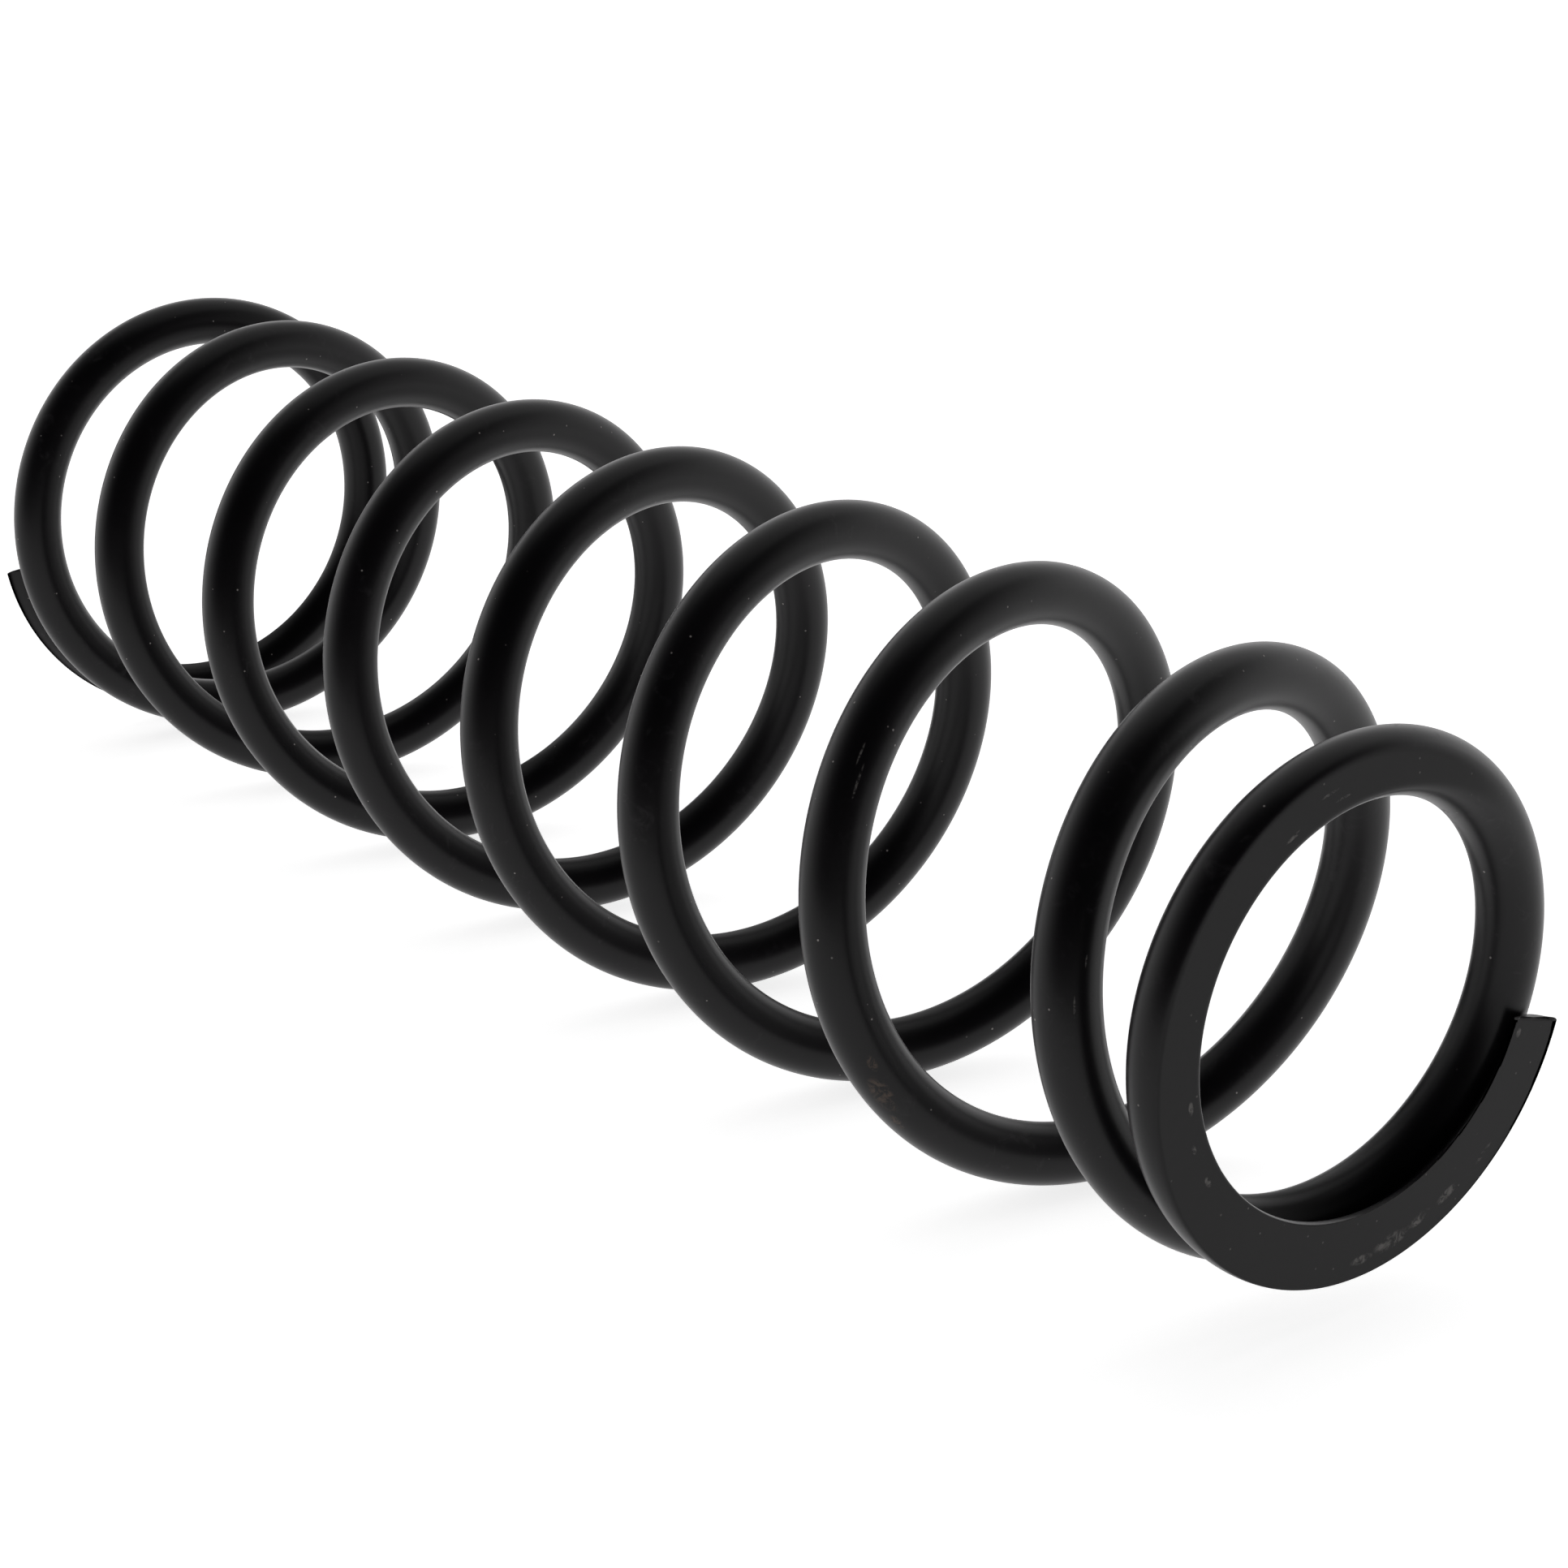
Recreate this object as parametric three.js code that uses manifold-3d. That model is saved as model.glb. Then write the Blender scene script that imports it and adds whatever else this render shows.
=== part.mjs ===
// A coil spring: round wire, closed and ground at both ends, lying on its side.
// Millimetres, +Z up. The winding's axis runs along X, and the origin is under the middle of
// the spring on the surface that it lies on. The end coil at +X is wound smaller than the rest.
//
// The wire is one winding, divided here into quarter-turn stretches so that it can compress:
// each stretch slides along X, and the shares of the travel are set by the joints.

import * as THREE from "three";
import { mergeVertices } from "three/addons/utils/BufferGeometryUtils.js";
import Module from "manifold-3d";

// Driving dimensions
const COIL_RADIUS = 36; // the axis to the wire's centre, in the full-size coils
const WIRE_DIAMETER = 8.5;
const PITCH = 41.4; // axial advance of one turn of the open coils
const SMALL_END_PITCH = 8.7; // one wire and a thin gap: the tip lies a little outside the next coil
const LARGE_END_PITCH = 8.9; // one wire and a gap, in the closed coil at -X
const SMALL_COIL_RADIUS = 30.7; // the axis to the wire's centre, in the end coil at +X
const TIP_COIL_RADIUS = 32; // the same at the very tip of that coil

// The winding, in turns from the +Y side, counted from the small end
const FIRST_TIP = 0.042;
const LAST_TIP = 9.471;
const SMALL_END_OPENS = [0.92, 1.66]; // the pitch grows from closed to open between these
const LARGE_END_CLOSES = [LAST_TIP - 1.69, LAST_TIP - 0.55];
const STEPS_BACK = [0.05, 0.45]; // the first turn leans back from its tip between these
const COMES_LEVEL = [0.45, 0.8]; // and meets the even pitch again between these
const LEAN = 1.8; // how far back it leans
const TIP_SETTLES = 0.4; // the radius has come in from the tip's by here
const WIDENS = [1.1, 2.1]; // the radius grows to the full size between these

// The ground ends: how far the wire's centre would stand out past the flat at each tip
const FIRST_TIP_STANDS_OUT = 3;
const LAST_TIP_STANDS_OUT = 2.6;

// How the wire is divided
const FIRST_CUT = 0.375; // turns; every cut lies a quarter turn after the one before
const QUARTER = 0.25;
const CUT_GAP = 0.3; // between neighbouring stretches, along the wire
const WIRE_SIDES = 12;
const STEPS_PER_QUARTER = 7; // odd, so that a flat facet faces the surface below
const PLACES = ["bottom", "left", "top", "right"]; // seen from the small end

const FULL_TURN = 2 * Math.PI;
const WIRE_RADIUS = WIRE_DIAMETER / 2;
const STEP = QUARTER / STEPS_PER_QUARTER;
const STEP_ANGLE = FULL_TURN * STEP;
const CHORD_STRETCH = 1 / Math.cos(STEP_ANGLE / 2); // lets the chords touch the true circle
const SIDE_STRETCH = 1 / Math.cos(Math.PI / WIRE_SIDES);
const AXIS_HEIGHT = COIL_RADIUS + WIRE_RADIUS * Math.cos(STEP_ANGLE / 2);

const wasm = await Module();
wasm.setup();

// 0 before the range, 1 after it, and an even S curve between
function blendOver([from, to], turns) {
  return THREE.MathUtils.smoothstep(turns, from, to);
}

// The integral of blendOver from well before the range: half its length, then 1 for 1
function blendSum([from, to], turns) {
  const length = to - from;
  const share = THREE.MathUtils.clamp((turns - from) / length, 0, 1);
  const inside = length * (share ** 3 - share ** 4 / 2);
  return inside + Math.max(turns - to, 0);
}

// How far the wire's centre has advanced along the axis, counted from turn 0
function advance(turns) {
  const opening = (PITCH - SMALL_END_PITCH) * blendSum(SMALL_END_OPENS, turns);
  const closing = (PITCH - LARGE_END_PITCH) * blendSum(LARGE_END_CLOSES, turns);
  const lean = LEAN * (blendOver(STEPS_BACK, turns) - blendOver(COMES_LEVEL, turns));
  return SMALL_END_PITCH * turns + lean + opening - closing;
}

// The distance from the axis to the wire's centre
function coilRadius(turns) {
  const settled = blendOver([FIRST_TIP, TIP_SETTLES], turns);
  const small = THREE.MathUtils.lerp(TIP_COIL_RADIUS, SMALL_COIL_RADIUS, settled);
  return THREE.MathUtils.lerp(small, COIL_RADIUS, blendOver(WIDENS, turns));
}

const FIRST_FLAT = advance(FIRST_TIP) + FIRST_TIP_STANDS_OUT;
const LAST_FLAT = advance(LAST_TIP) - LAST_TIP_STANDS_OUT;
const FREE_LENGTH = LAST_FLAT - FIRST_FLAT;
const MIDDLE = (FIRST_FLAT + LAST_FLAT) / 2;

// Where the wire's sections stand between two points of the winding: at both ends, and at the
// even steps between them that all the coils share
function stationsBetween(from, to) {
  const stations = [from];
  for (let i = Math.ceil((from - FIRST_CUT) / STEP); FIRST_CUT + i * STEP < to; i++) {
    stations.push(FIRST_CUT + i * STEP);
  }
  stations.push(to);
  return stations;
}

// The wire's centre line through such stations. Its frames stay in planes through the axis, so
// that the facets of all the coils line up and each cut face holds the X direction.
class Winding extends THREE.Curve {
  constructor(stations) {
    super();
    this.stations = stations;
  }

  turnsAt(share) {
    const place = share * (this.stations.length - 1);
    const before = Math.min(Math.floor(place), this.stations.length - 2);
    const [from, to] = this.stations.slice(before, before + 2);
    return THREE.MathUtils.lerp(from, to, place - before);
  }

  outward(share) {
    const angle = -FULL_TURN * this.turnsAt(share);
    return new THREE.Vector3(0, Math.cos(angle), Math.sin(angle));
  }

  getPoint(share) {
    const turns = this.turnsAt(share);
    const point = this.outward(share).multiplyScalar(coilRadius(turns) * CHORD_STRETCH);
    point.x = MIDDLE - advance(turns);
    return point;
  }

  getSpacedPoints(divisions) {
    return this.getPoints(divisions);
  }

  computeFrenetFrames(divisions) {
    const along = new THREE.Vector3(1, 0, 0);
    const frames = { tangents: [], normals: [], binormals: [] };
    for (let i = 0; i <= divisions; i++) {
      const outward = this.outward(i / divisions);
      frames.normals.push(outward);
      frames.binormals.push(along.clone());
      frames.tangents.push(outward.clone().cross(along));
    }
    return frames;
  }
}

// A polygon whose flats touch the wire's circle, with flats facing out and along the axis
function wireSection() {
  const corners = [];
  for (let i = 0; i < WIRE_SIDES; i++) {
    const angle = (FULL_TURN * (i + 0.5)) / WIRE_SIDES;
    corners.push(
      new THREE.Vector2(Math.cos(angle), Math.sin(angle)).multiplyScalar(
        WIRE_RADIUS * SIDE_STRETCH,
      ),
    );
  }
  return new THREE.Shape(corners);
}

function wireBetween(from, to) {
  const stations = stationsBetween(from, to);
  return new THREE.ExtrudeGeometry(wireSection(), {
    steps: stations.length - 1,
    bevelEnabled: false,
    extrudePath: new Winding(stations),
  });
}

function solidOf(geometry) {
  const bare = geometry.clone();
  bare.deleteAttribute("normal");
  bare.deleteAttribute("uv");
  const merged = mergeVertices(bare);
  return new wasm.Manifold(
    new wasm.Mesh({
      numProp: 3,
      vertProperties: merged.attributes.position.array,
      triVerts: new Uint32Array(merged.index.array),
    }),
  );
}

function geometryOf(solid) {
  const mesh = solid.getMesh();
  const geometry = new THREE.BufferGeometry();
  geometry.setAttribute("position", new THREE.BufferAttribute(mesh.vertProperties, 3));
  geometry.setIndex(new THREE.BufferAttribute(mesh.triVerts, 1));
  return geometry;
}

// Removes everything past the flat at one end; direction is 1 at +X and -1 at -X
function groundFlat(geometry, direction) {
  const depth = 6 * WIRE_DIAMETER;
  const across = 4 * COIL_RADIUS;
  const wheel = new THREE.BoxGeometry(depth, across, across);
  wheel.translate((direction * (FREE_LENGTH + depth)) / 2, 0, 0);
  return geometryOf(solidOf(geometry).subtract(solidOf(wheel)));
}

function blackPaint() {
  return new THREE.MeshStandardMaterial({
    color: 0x26242a,
    roughness: 0.45,
    metalness: 0,
  });
}

function stretchName(index) {
  const coil = Math.floor(index / PLACES.length) + 1;
  return `coil_${coil}_${PLACES[index % PLACES.length]}`;
}

function coilSpring() {
  const spring = new THREE.Group();
  const halfGap = CUT_GAP / 2 / (FULL_TURN * COIL_RADIUS);
  const cuts = [];
  for (let at = FIRST_CUT; at < LAST_TIP - QUARTER; at += QUARTER) {
    cuts.push(at);
  }
  const starts = [FIRST_TIP, ...cuts.map((at) => at + halfGap)];
  const ends = [...cuts.map((at) => at - halfGap), LAST_TIP];
  starts.forEach((start, index) => {
    let geometry = wireBetween(start, ends[index]);
    if (advance(start) - FIRST_FLAT < WIRE_DIAMETER) {
      geometry = groundFlat(geometry, 1);
    }
    if (LAST_FLAT - advance(ends[index]) < WIRE_DIAMETER) {
      geometry = groundFlat(geometry, -1);
    }
    const stretch = new THREE.Mesh(geometry, blackPaint());
    stretch.name = stretchName(index);
    stretch.position.z = AXIS_HEIGHT;
    spring.add(stretch);
  });
  return spring;
}

export default coilSpring();
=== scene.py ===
"""The looks of a coil spring: one black powder-coated wire, wound as a helix, lying on its side.

The wire is made as one fine surface, in pieces that stand for the CAD model's quarter-turn
stretches. Neighbouring pieces share their end rings and their normals, so no seam shows. Each
point's share of the travel between the two end bodies is worked out, but nothing here moves a
piece by it.
"""

import math

import bpy
import numpy as np
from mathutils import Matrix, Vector


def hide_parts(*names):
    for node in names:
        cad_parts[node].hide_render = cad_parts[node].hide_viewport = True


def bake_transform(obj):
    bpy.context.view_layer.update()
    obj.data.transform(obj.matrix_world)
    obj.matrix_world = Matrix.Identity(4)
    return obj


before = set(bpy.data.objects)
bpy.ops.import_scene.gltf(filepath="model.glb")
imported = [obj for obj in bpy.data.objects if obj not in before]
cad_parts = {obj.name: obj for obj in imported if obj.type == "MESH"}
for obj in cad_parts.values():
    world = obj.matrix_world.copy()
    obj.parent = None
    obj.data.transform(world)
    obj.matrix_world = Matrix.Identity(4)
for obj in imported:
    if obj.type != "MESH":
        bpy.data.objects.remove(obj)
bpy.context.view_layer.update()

MM = 0.001
FULL_TURN = 2 * math.pi

# The winding, as in the CAD model: millimetres, and turns counted from the small end's +Y side
COIL_RADIUS = 36.0
WIRE_RADIUS = 4.25
PITCH = 41.4
SMALL_END_PITCH = 8.7
LARGE_END_PITCH = 8.9
SMALL_COIL_RADIUS = 30.7
TIP_COIL_RADIUS = 32.0
FIRST_TIP = 0.042
LAST_TIP = 9.471
SMALL_END_OPENS = (0.92, 1.66)
LARGE_END_CLOSES = (LAST_TIP - 1.69, LAST_TIP - 0.55)
STEPS_BACK = (0.05, 0.45)
COMES_LEVEL = (0.45, 0.8)
LEAN = 1.8
TIP_SETTLES = 0.4
WIDENS = (1.1, 2.1)
TRAVEL_BEGINS = (1.0, 1.8)  # a little later than the pitch opens, so that no turns meet
FIRST_TIP_STANDS_OUT = 3.0
LAST_TIP_STANDS_OUT = 2.6
FIRST_CUT = 0.375
QUARTER = 0.25
PLACES = ("bottom", "left", "top", "right")

# How finely the surface is made
AROUND = 72
STATIONS_PER_TURN = 240
EDGE_EASE = 0.5  # half the width of the soft edge round a ground flat
TIP_EASE = 0.25  # the paint's rounding round each cut tip
TIP_STATIONS = 8
SLOPE_STEP = 1e-4  # turns to either side, for the centre line's slope
NORMAL_STEP_ALONG = 2e-4  # turns to either side, for the surface's slope along the wire
NORMAL_STEP_ROUND = 1e-2  # radians to either side, for its slope round the wire
NO_LENGTH = 1e-12  # keeps a normal of no length from being divided by nothing

# The blacks of the paint, and what lies on it
WIRE_BLACK = (0.0026, 0.0021, 0.0028, 1)
WIRE_BLACK_THIN = (0.0042, 0.0034, 0.0044, 1)
FLAT_BLACK = (0.0070, 0.0066, 0.0070, 1)
FLAT_BLACK_THIN = (0.0090, 0.0085, 0.0090, 1)
SMUDGE = (0.030, 0.028, 0.030, 1)
DUST = (0.30, 0.28, 0.27, 1)
PALE_SCUFF = (0.105, 0.100, 0.096, 1)
SATIN_ROUGHNESS = 0.3
SATIN_SPECULAR = 0.22
MATT_ROUGHNESS = 0.5
SHEEN = 0.06
SHEEN_ROUGHNESS = 0.3
SHEEN_TINT = (1.0, 0.93, 0.96, 1)
MATT_SPECULAR = 0.17
RUST_RUB = (0.052, 0.036, 0.027, 1)

# Marks of handling, one to a row: turns, degrees round the wire from outward towards +X, and half
# the length and half the width in millimetres
RUST_RUBS = (
    (2.41, 45, 3.2, 1.6),
    (2.39, 30, 1.6, 0.9),
    (2.43, 60, 1.4, 0.7),
)
PALE_SCUFFS = (
    (0.052, 128, 0.8, 0.6),
    (0.13, 62, 1.8, 0.5),
    (0.165, 70, 2.2, 0.8),
    (0.19, 72, 2.4, 0.9),
    (0.215, 68, 3.2, 1.3),
    (0.24, 62, 2.0, 0.8),
    (0.415, 110, 1.0, 0.5),
    (0.445, 107, 0.8, 0.4),
    (0.475, 115, 1.1, 0.5),
    (0.67, 107, 1.6, 0.35),
    (0.705, 85, 1.8, 0.22),
    (0.715, 105, 1.5, 0.22),
    (1.52, 60, 1.4, 0.16),
    (1.545, 76, 0.9, 0.14),
    (2.585, 60, 2.6, 0.2),
    (2.6, 48, 1.8, 0.16),
)

# The colour sockets of a Mix node, whose names are shared by its other kinds
MIX_FIRST = 6
MIX_SECOND = 7
MIX_RESULT = 2

# The light: how much the walls, the ceiling and the table glow, and the share left at the open front
WALL_GLOW = 1.3
CEILING_GLOW = 0.22
FRONT_SHARE = 0.01
OPEN_FRONT = (0.76, -0.52, 0.39)
TABLE_GLOW = 0.8
TABLE_HALF_WIDTH = 4.0
TABLE_GAP = 0.0001  # keeps the table clear of the wire's lowest points
TABLE_WHITE = (0.90, 0.90, 0.90, 1)
TABLE_WHITER = (0.93, 0.93, 0.93, 1)
STUDIO_WHITE = (1.0, 0.995, 1.0, 1)
LAMP_WATTS = 2.2
LAMP_LENGTH = 1.4
LAMP_WIDTH = 1.0
LAMP_PLACE = (-0.25, 0.35, 1.1)

# Where the camera stands, how it is turned, and its lens
CAMERA_PLACE = (0.3934, -0.2639, 0.1917)
CAMERA_AZIMUTH = 53.52
CAMERA_DOWN = 19.27
CAMERA_LENS = 73.05
CAMERA_SENSOR = 36.0
CAMERA_NEAR = 0.01
CAMERA_FAR = 50.0


def blend_over(span, turns):
    """An even S curve: 0 before the span, 1 after it, and three squares less two cubes between."""
    share = np.clip((turns - span[0]) / (span[1] - span[0]), 0, 1)
    return share**2 * (3 - 2 * share)


def blend_sum(span, turns):
    """The area under blend_over up to each turn: the share's cube less half its fourth power, times
    the span's length, and then 1 for 1."""
    length = span[1] - span[0]
    share = np.clip((turns - span[0]) / length, 0, 1)
    return length * (share**3 - share**4 / 2) + np.maximum(turns - span[1], 0)


def advance(turns):
    """The wire centre's distance along the axis: the small end's pitch for every turn and its first
    turn's lean, plus what the open coils add, less what the large end takes away as it closes."""
    lean = LEAN * (blend_over(STEPS_BACK, turns) - blend_over(COMES_LEVEL, turns))
    opening = (PITCH - SMALL_END_PITCH) * blend_sum(SMALL_END_OPENS, turns)
    closing = (PITCH - LARGE_END_PITCH) * blend_sum(LARGE_END_CLOSES, turns)
    return SMALL_END_PITCH * turns + lean + opening - closing


def coil_radius(turns):
    """The axis to the wire's centre: the tip's radius, which settles to the small coil's and then
    widens to the full size, each along an S curve."""
    settled = blend_over((FIRST_TIP, TIP_SETTLES), turns)
    small = TIP_COIL_RADIUS + (SMALL_COIL_RADIUS - TIP_COIL_RADIUS) * settled
    return small + (COIL_RADIUS - small) * blend_over(WIDENS, turns)


def travel_share(turns):
    """The share of the large end's travel that each point of the winding makes: it grows evenly over
    the open coils, and stays at 0 in the small end's closed coil and at 1 in the large end's."""
    made = blend_sum(TRAVEL_BEGINS, turns) - blend_sum(LARGE_END_CLOSES, turns)
    last = np.array(LAST_TIP)
    whole = blend_sum(TRAVEL_BEGINS, last) - blend_sum(LARGE_END_CLOSES, last)
    return made / whole


FIRST_FLAT = float(advance(np.array(FIRST_TIP))) + FIRST_TIP_STANDS_OUT
LAST_FLAT = float(advance(np.array(LAST_TIP))) - LAST_TIP_STANDS_OUT
MIDDLE = (FIRST_FLAT + LAST_FLAT) / 2
HALF_LENGTH = (LAST_FLAT - FIRST_FLAT) / 2
AXIS_HEIGHT = COIL_RADIUS + WIRE_RADIUS


def centre_line(turns):
    """A right-hand helix about X whose radius and advance both vary: the middle less the advance
    along X, and the radius turned about X by minus the turns."""
    angle = -FULL_TURN * turns
    radius = coil_radius(turns)
    along = MIDDLE - advance(turns)
    return np.stack([along, radius * np.cos(angle), radius * np.sin(angle)], -1)


def unit(vectors):
    """Each vector divided by its own length."""
    return vectors / np.linalg.norm(vectors, axis=-1, keepdims=True)


def eased_floor(value, ease):
    """The value where it is above the ease, 0 below minus the ease, and a parabola between them."""
    lifted = np.clip(value + ease, 0, 2 * ease)
    return lifted**2 / (4 * ease) + np.maximum(value - ease, 0)


def wire_frame(turns):
    """The wire's centre, its tangent, and two directions square to that: outward and across.

    The tangent is the centre line's slope over a small step. Outward points away from the axis,
    less its part along the tangent, and across, their cross product, points towards +X.
    """
    centre = centre_line(turns)
    tangent = unit(centre_line(turns + SLOPE_STEP) - centre_line(turns - SLOPE_STEP))
    angle = -FULL_TURN * turns
    outward = np.stack([0 * angle, np.cos(angle), np.sin(angle)], -1)
    outward = unit(outward - (outward * tangent).sum(-1, keepdims=True) * tangent)
    return centre, tangent, outward, np.cross(tangent, outward)


def wire_surface(turns, around, inset):
    """A circle carried square to the helix, then held inside the two ground planes with an eased edge.

    turns has one value for each ring, around one for each point of a ring, and inset says how far
    each ring is drawn in, as the paint's rounding does at a cut tip. Returns rings by points by 3.
    """
    centre, _, outward, across = wire_frame(turns)
    radius = (WIRE_RADIUS - inset)[:, None, None]
    ring = (
        np.cos(around)[None, :, None] * outward[:, None, :]
        + np.sin(around)[None, :, None] * across[:, None, :]
    )
    surface = centre[:, None, :] + radius * ring
    limit = (HALF_LENGTH - inset)[:, None]
    below = eased_floor(limit - surface[..., 0], EDGE_EASE)
    above = eased_floor(limit + (limit - below), EDGE_EASE)
    surface[..., 0] = above - limit
    return surface


def surface_normals(turns, around, inset):
    """The cross product of the surface's two slopes, each from points a small step to either side."""
    further_on = wire_surface(turns + NORMAL_STEP_ALONG, around, inset)
    further_back = wire_surface(turns - NORMAL_STEP_ALONG, around, inset)
    further_round = wire_surface(turns, around + NORMAL_STEP_ROUND, inset)
    less_round = wire_surface(turns, around - NORMAL_STEP_ROUND, inset)
    normal = np.cross(further_round - less_round, further_on - further_back)
    length = np.linalg.norm(normal, axis=-1, keepdims=True)
    return normal / np.maximum(length, NO_LENGTH)


def uncut_along(turns, around):
    """The distance along X of each point of the round wire, before the ends are ground."""
    centre, _, outward, across = wire_frame(turns)
    reach = np.cos(around)[None, :] * outward[:, :1] + np.sin(around)[None, :] * across[:, :1]
    return centre[:, :1] + WIRE_RADIUS * reach


def ring_faces(rings, points):
    """The quads of a tube: each ring joined to the next, and a ring's last point to its first."""
    ring = np.arange(rings - 1)[:, None]
    point = np.arange(points)[None, :]
    following = (point + 1) % points
    here = ring * points
    there = here + points
    corners = [here + point, here + following, there + following, there + point]
    return np.stack(corners, -1).reshape(-1, 4)


def cap_faces(ring_start, points, centre, facing_on):
    """A fan of triangles from a middle point to a ring's sides, facing on along the wire or back."""
    point = ring_start + np.arange(points)
    following = ring_start + (np.arange(points) + 1) % points
    middle = np.full(points, centre)
    order = (middle, point, following) if facing_on else (middle, following, point)
    return np.stack(order, -1)


def tip_rings(tip, into):
    """Rings that round off a cut tip: a quarter circle of inset against distance from the tip's face.

    Returns each ring's turns, its inset, and how far its normal has turned from the face to the side.
    """
    angle = np.linspace(0, math.pi / 2, TIP_STATIONS)
    distance = TIP_EASE * (1 - np.cos(angle))
    turn_length = FULL_TURN * float(coil_radius(np.array(tip)))
    return tip + into * distance / turn_length, TIP_EASE * (1 - np.sin(angle)), np.sin(angle)


def stretch_rings(start, end):
    """The rings of one stretch: even stations between its cuts, and the rounding at a tip."""
    count = int(math.ceil((end - start) * STATIONS_PER_TURN)) + 1
    turns = np.linspace(start, end, count)
    inset = np.zeros(count)
    side = np.ones(count)
    if start == FIRST_TIP:
        tip_turns, tip_inset, tip_side = tip_rings(start, 1)
        keep = turns > tip_turns[-1]
        turns = np.concatenate([tip_turns, turns[keep]])
        inset = np.concatenate([tip_inset, inset[keep]])
        side = np.concatenate([tip_side, side[keep]])
    if end == LAST_TIP:
        tip_turns, tip_inset, tip_side = (values[::-1] for values in tip_rings(end, -1))
        keep = turns < tip_turns[0]
        turns = np.concatenate([turns[keep], tip_turns])
        inset = np.concatenate([inset[keep], tip_inset])
        side = np.concatenate([side[keep], tip_side])
    return turns, inset, side


def give(mesh, name, kind, field, values):
    """Puts an array, with one value for each point, into a new attribute of the mesh."""
    attribute = mesh.attributes.new(name, kind, "POINT")
    attribute.data.foreach_set(field, np.ascontiguousarray(values, dtype=np.float32).ravel())


def wire_piece(name, start, end, finish):
    """One stretch of the wire as a closed tube, from its start to its end in turns.

    Its attributes say where each point lies on the wire at rest: rest_place in metres, wire_place
    as the two parts of the direction round the wire and the turns, and ground_depth, which is how
    many millimetres the round wire would reach past the nearer ground plane. Returns the piece,
    and the turns of each of its points.
    """
    turns, inset, side = stretch_rings(start, end)
    around = np.linspace(0, FULL_TURN, AROUND, endpoint=False)
    surface = wire_surface(turns, around, inset)
    normal = surface_normals(turns, around, inset)
    _, tangent, _, _ = wire_frame(turns)
    towards_tip = np.where(turns < (start + end) / 2, -1.0, 1.0)[:, None] * tangent
    facing_tip = np.sqrt(1 - side**2)[:, None, None] * towards_tip[:, None, :]
    normal = unit(side[:, None, None] * normal + facing_tip)
    rings = len(turns)
    middles = surface[[0, -1]].mean(1)
    places = np.concatenate([surface.reshape(-1, 3), middles]) * MM
    places[:, 2] += AXIS_HEIGHT * MM
    normals = np.concatenate([normal.reshape(-1, 3), -tangent[:1], tangent[-1:]])
    quads = ring_faces(rings, AROUND)
    first_middle = rings * AROUND
    fans = np.concatenate([
        cap_faces(0, AROUND, first_middle, False),
        cap_faces((rings - 1) * AROUND, AROUND, first_middle + 1, True),
    ])
    mesh = bpy.data.meshes.new(name)
    mesh.from_pydata(places, [], quads.tolist() + fans.tolist())
    mesh.polygons.foreach_set("use_smooth", np.ones(len(mesh.polygons), dtype=bool))

    depth = np.abs(uncut_along(turns, around)) - HALF_LENGTH
    ground_depth = np.concatenate([depth.ravel(), [-1, -1]])
    ring_turns = np.repeat(turns, AROUND)
    point_turns = np.concatenate([ring_turns, turns[[0, -1]]])
    wire_place = np.stack([
        np.concatenate([np.tile(np.cos(around), rings), [0, 0]]),
        np.concatenate([np.tile(np.sin(around), rings), [0, 0]]),
        point_turns,
    ], -1)
    give(mesh, "rest_place", "FLOAT_VECTOR", "vector", places)
    give(mesh, "wire_place", "FLOAT_VECTOR", "vector", wire_place)
    give(mesh, "ground_depth", "FLOAT", "value", ground_depth)
    mesh.normals_split_custom_set_from_vertices(normals)
    mesh.materials.append(finish)
    mesh.update()
    piece = bpy.data.objects.new(name, mesh)
    bpy.context.scene.collection.objects.link(piece)
    return piece, point_turns


class Amount:
    """A shader socket that Python's arithmetic signs work on: each one adds a Math node."""

    def __init__(self, nodes, socket):
        self.nodes = nodes
        self.socket = socket

    def maths(self, operation, *values):
        return self.nodes.amount("ShaderNodeMath", {"operation": operation}, dict(enumerate(values)))

    def __add__(self, other):
        return self.maths("ADD", self, other)

    def __sub__(self, other):
        return self.maths("SUBTRACT", self, other)

    def __rsub__(self, other):
        return self.maths("SUBTRACT", other, self)

    def __mul__(self, other):
        return self.maths("MULTIPLY", self, other)

    __radd__ = __add__
    __rmul__ = __mul__

    def between(self, low, high):
        """0 at low, 1 at high, with an S curve between and no more past them."""
        return self.nodes.amount(
            "ShaderNodeMapRange",
            {"interpolation_type": "SMOOTHSTEP"},
            {"Value": self, "From Min": low, "From Max": high},
        )


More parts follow.
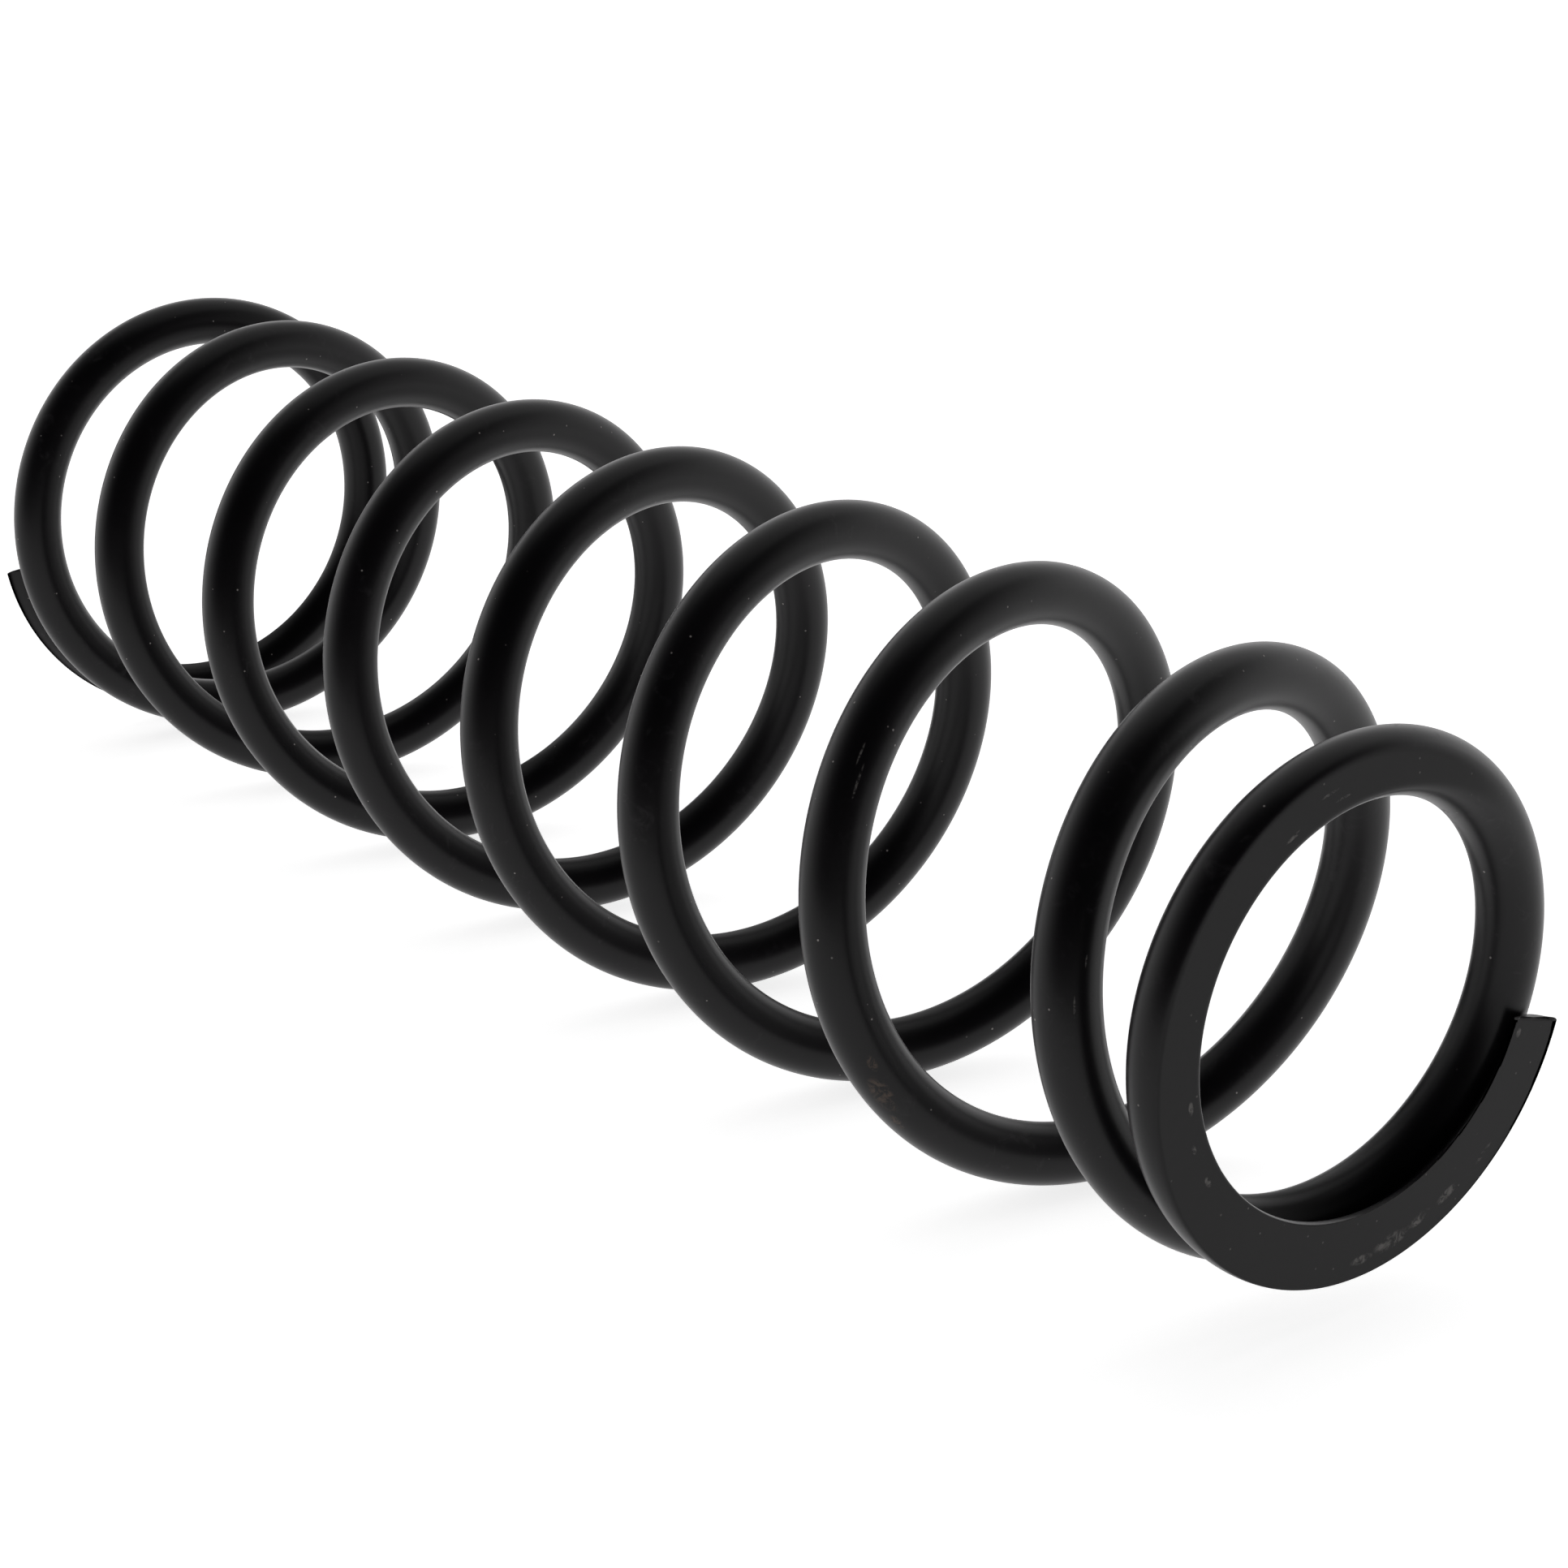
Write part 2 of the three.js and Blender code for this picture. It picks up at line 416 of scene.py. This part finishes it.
class Nodes:
    """A node tree under construction, with one method for every kind of node."""

    def __init__(self, tree):
        self.tree = tree
        self.tree.nodes.clear()

    def node(self, kind, settings=None, sockets=None):
        """Adds a node, makes its settings, and then gives its sockets their values or links."""
        made = self.tree.nodes.new(kind)
        for setting, value in (settings or {}).items():
            setattr(made, setting, value)
        for socket, value in (sockets or {}).items():
            if isinstance(value, Amount):
                self.tree.links.new(value.socket, made.inputs[socket])
            else:
                made.inputs[socket].default_value = value
        return made

    def amount(self, kind, settings=None, sockets=None, output=0):
        """Adds a node and returns one of its outputs, ready for sums."""
        return Amount(self, self.node(kind, settings, sockets).outputs[output])

    def read(self, name, output):
        """An attribute of the piece."""
        settings = {"attribute_type": "GEOMETRY", "attribute_name": name}
        return self.amount("ShaderNodeAttribute", settings, output=output)

    def noise(self, place, per_metre, detail=2.0, roughness=0.5, distortion=0.0):
        """Cloudy noise from 0 to 1 in space: so many clouds to the metre, with finer ones on them."""
        return self.amount(
            "ShaderNodeTexNoise",
            {"noise_dimensions": "3D"},
            {
                "Vector": place,
                "Scale": per_metre,
                "Detail": detail,
                "Roughness": roughness,
                "Distortion": distortion,
            },
            "Fac",
        )

    def blend(self, share, first, second):
        """A colour that goes from the first to the second as the share goes from 0 to 1."""
        return self.amount(
            "ShaderNodeMix",
            {"data_type": "RGBA"},
            {"Factor": share, MIX_FIRST: first, MIX_SECOND: second},
            MIX_RESULT,
        )

    def parts(self, vector):
        """The three numbers of a vector or of a colour."""
        split = self.node("ShaderNodeSeparateXYZ", None, {"Vector": vector})
        return [Amount(self, output) for output in split.outputs]


class Finish(Nodes):
    """A material under construction."""

    def __init__(self, name):
        self.material = bpy.data.materials.new(name)
        self.material.use_nodes = True
        super().__init__(self.material.node_tree)

    def paint(self, colour, roughness, bump, specular):
        """A coat of paint with a faint sheen of dust."""
        return self.node(
            "ShaderNodeBsdfPrincipled",
            None,
            {
                "Base Color": colour,
                "Roughness": roughness,
                "Normal": bump,
                "Specular IOR Level": specular,
                "Metallic": 0.0,
                "Sheen Weight": SHEEN,
                "Sheen Roughness": SHEEN_ROUGHNESS,
                "Sheen Tint": SHEEN_TINT,
            },
        )

    def surface(self, shader):
        """Ends the material with a shader, and returns it."""
        output = self.node("ShaderNodeOutputMaterial")
        self.tree.links.new(shader, output.inputs["Surface"])
        return self.material


def marks(finish, wire_place, places):
    """1 inside each mark of a list and 0 away from them all, with a soft rim.

    A mark is an ellipse on the wire's surface: the square of the distance along the wire over half
    its length, and of the distance across over half its width. It shows only on its own side.
    """
    outward, sideways, turns = finish.parts(wire_place)
    shown = None
    for at_turns, direction, half_length, half_width in places:
        cosine = math.cos(math.radians(direction))
        sine = math.sin(math.radians(direction))
        turn_length = FULL_TURN * float(coil_radius(np.array(at_turns)))
        along = (turns - at_turns) * (turn_length / half_length)
        across = (outward * -sine + sideways * cosine) * (WIRE_RADIUS / half_width)
        facing = (outward * cosine + sideways * sine).between(0.3, 0.6)
        near = 1 - (along * along + across * across).between(0.25, 1.0)
        mark = near * facing
        shown = mark if shown is None else shown.maths("MAXIMUM", shown, mark)
    return shown


def black_paint():
    """Black paint on spring wire: satin where the wire is round, and matt where its end was ground flat.

    Two close blacks cloud into each other, with faint smudges, dust specks and the marks of handling.
    """
    finish = Finish("black_paint_on_spring_wire")
    place = finish.read("rest_place", "Vector")
    wire_place = finish.read("wire_place", "Vector")
    ground = finish.read("ground_depth", "Fac").between(-0.12, 0.35)

    clouds = finish.noise(place, per_metre=55.0, detail=3.0)
    tint = clouds.between(0.35, 0.7)
    round_colour = finish.blend(tint, WIRE_BLACK, WIRE_BLACK_THIN)
    flat_colour = finish.blend(tint, FLAT_BLACK, FLAT_BLACK_THIN)
    colour = finish.blend(ground, round_colour, flat_colour)

    smudge_zone = finish.noise(place, per_metre=32.0, detail=2.0).between(0.46, 0.66)
    smudged = finish.noise(place, per_metre=380.0, detail=5.0, roughness=0.65, distortion=0.8)
    smudges = smudged.between(0.54, 0.76) * smudge_zone
    colour = finish.blend(smudges * 0.45, colour, SMUDGE)

    ragged = finish.noise(place, per_metre=640.0, detail=5.0, roughness=0.75, distortion=0.7)
    torn = ragged.between(0.42, 0.62)
    rubs = marks(finish, wire_place, RUST_RUBS) * torn
    scuffs = marks(finish, wire_place, PALE_SCUFFS) * torn
    colour = finish.blend(rubs, colour, RUST_RUB)
    colour = finish.blend(scuffs, colour, PALE_SCUFF)

    dust = finish.node("ShaderNodeTexVoronoi", {"feature": "F1"}, {"Vector": place, "Scale": 420.0})
    fleck = Amount(finish, dust.outputs["Distance"])
    chance, _, _ = finish.parts(Amount(finish, dust.outputs["Color"]))
    specks = (1 - fleck.between(0.03, 0.085)) * chance.between(0.45, 0.95)
    colour = finish.blend(specks, colour, DUST)

    worn = smudges * 0.12 + (rubs + scuffs) * 0.15 + specks * 0.3
    peel = finish.noise(place, per_metre=750.0, detail=3.0, roughness=0.55)
    relief = peel + specks * 1.5 - (rubs + scuffs) * 1.2
    bump = finish.amount(
        "ShaderNodeBump",
        None,
        {"Strength": 0.15, "Distance": 0.00005, "Height": relief},
    )
    satin = finish.paint(colour, SATIN_ROUGHNESS + clouds * 0.08 + worn, bump, SATIN_SPECULAR)
    matt = finish.paint(colour, MATT_ROUGHNESS + clouds * 0.08 + worn, bump, MATT_SPECULAR)
    both = finish.node("ShaderNodeMixShader", None, {"Fac": ground})
    finish.tree.links.new(satin.outputs["BSDF"], both.inputs[1])
    finish.tree.links.new(matt.outputs["BSDF"], both.inputs[2])
    return finish.surface(both.outputs["Shader"])


def spring_pieces():
    """Every stretch of the wire, replacing its CAD node; each point's share of the travel is worked out
    but not applied.
    """
    finish = black_paint()
    cuts = np.arange(FIRST_CUT, LAST_TIP - QUARTER, QUARTER)
    ends = [FIRST_TIP, *cuts.tolist(), LAST_TIP]
    for index, (start, end) in enumerate(zip(ends[:-1], ends[1:])):
        coil, place = divmod(index, len(PLACES))
        node = f"coil_{coil + 1}_{PLACES[place]}"
        piece, turns = wire_piece(f"wire_{node}", start, end, finish)
        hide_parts(node)
        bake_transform(piece)
        # Each point's share of the travel, one for a whole section of the wire; nothing here moves the
        # piece by it
        share = travel_share(turns).astype(np.float32)


def white_table():
    """The white lit table that the spring lies on: a plain square that glows evenly."""
    corners = np.array([[-1, -1], [1, -1], [1, 1], [-1, 1]]) * TABLE_HALF_WIDTH
    places = np.column_stack([corners, np.full(4, -TABLE_GAP)])
    mesh = bpy.data.meshes.new("white_table")
    mesh.from_pydata(places, [], [(0, 1, 2, 3)])
    finish = Finish("white_table_top")
    place = finish.amount("ShaderNodeTexCoord", output="Object")
    cloud = finish.noise(place, per_metre=6.0, detail=2.0).between(0.3, 0.7)
    colour = finish.blend(cloud, TABLE_WHITE, TABLE_WHITER)
    shader = finish.node(
        "ShaderNodeBsdfPrincipled",
        None,
        {
            "Base Color": colour,
            "Roughness": 0.9,
            "Specular IOR Level": 0.1,
            "Emission Color": (1, 1, 1, 1),
            "Emission Strength": TABLE_GLOW,
        },
    )
    mesh.materials.append(finish.surface(shader.outputs["BSDF"]))
    table = bpy.data.objects.new("white_table", mesh)
    bpy.context.scene.collection.objects.link(table)


def studio_light():
    """Soft white light from the walls and above, dim towards the open front.

    The camera sees the room as plain white, whatever light it gives.
    """
    world = bpy.data.worlds.new("white_studio")
    bpy.context.scene.world = world
    world.use_nodes = True
    room = Nodes(world.node_tree)
    direction = room.amount("ShaderNodeTexCoord", output="Generated")
    front = room.node(
        "ShaderNodeVectorMath", {"operation": "DOT_PRODUCT"}, {0: direction, 1: OPEN_FRONT}
    )
    towards_front = Amount(room, front.outputs["Value"]).between(-0.35, 0.75)
    _, _, height = room.parts(direction)
    overhead = height.between(0.15, 0.95)
    closed_glow = WALL_GLOW - overhead * (WALL_GLOW - CEILING_GLOW)
    glow = closed_glow * (1 - towards_front * (1 - FRONT_SHARE))
    seen = room.amount("ShaderNodeLightPath", output="Is Camera Ray")
    strength = glow + (1 - glow) * seen
    shader = room.node(
        "ShaderNodeBackground", None, {"Color": STUDIO_WHITE, "Strength": strength}
    )
    output = room.node("ShaderNodeOutputWorld")
    room.tree.links.new(shader.outputs["Background"], output.inputs["Surface"])


def softbox():
    """One wide soft lamp above and behind the spring, aimed at the middle of the table."""
    lamp = bpy.data.lights.new("overhead_softbox", "AREA")
    lamp.shape = "RECTANGLE"
    lamp.size = LAMP_LENGTH
    lamp.size_y = LAMP_WIDTH
    lamp.energy = LAMP_WATTS
    box = bpy.data.objects.new("overhead_softbox", lamp)
    box.location = LAMP_PLACE
    aim = Vector((0, 0, 0)) - box.location
    box.rotation_euler = aim.to_track_quat("-Z", "Y").to_euler()
    bpy.context.scene.collection.objects.link(box)


def camera():
    """The camera looks along its azimuth, turned from +Y towards -X, and down by its angle."""
    data = bpy.data.cameras.new("camera")
    data.sensor_width = CAMERA_SENSOR
    data.lens = CAMERA_LENS
    data.clip_start = CAMERA_NEAR
    data.clip_end = CAMERA_FAR
    eye = bpy.data.objects.new("camera", data)
    eye.location = CAMERA_PLACE
    eye.rotation_euler = (
        math.radians(90 - CAMERA_DOWN),
        0,
        math.radians(CAMERA_AZIMUTH),
    )
    bpy.context.scene.collection.objects.link(eye)
    bpy.context.scene.camera = eye


bpy.context.scene.view_settings.view_transform = "Standard"
camera()
white_table()
studio_light()
softbox()
spring_pieces()
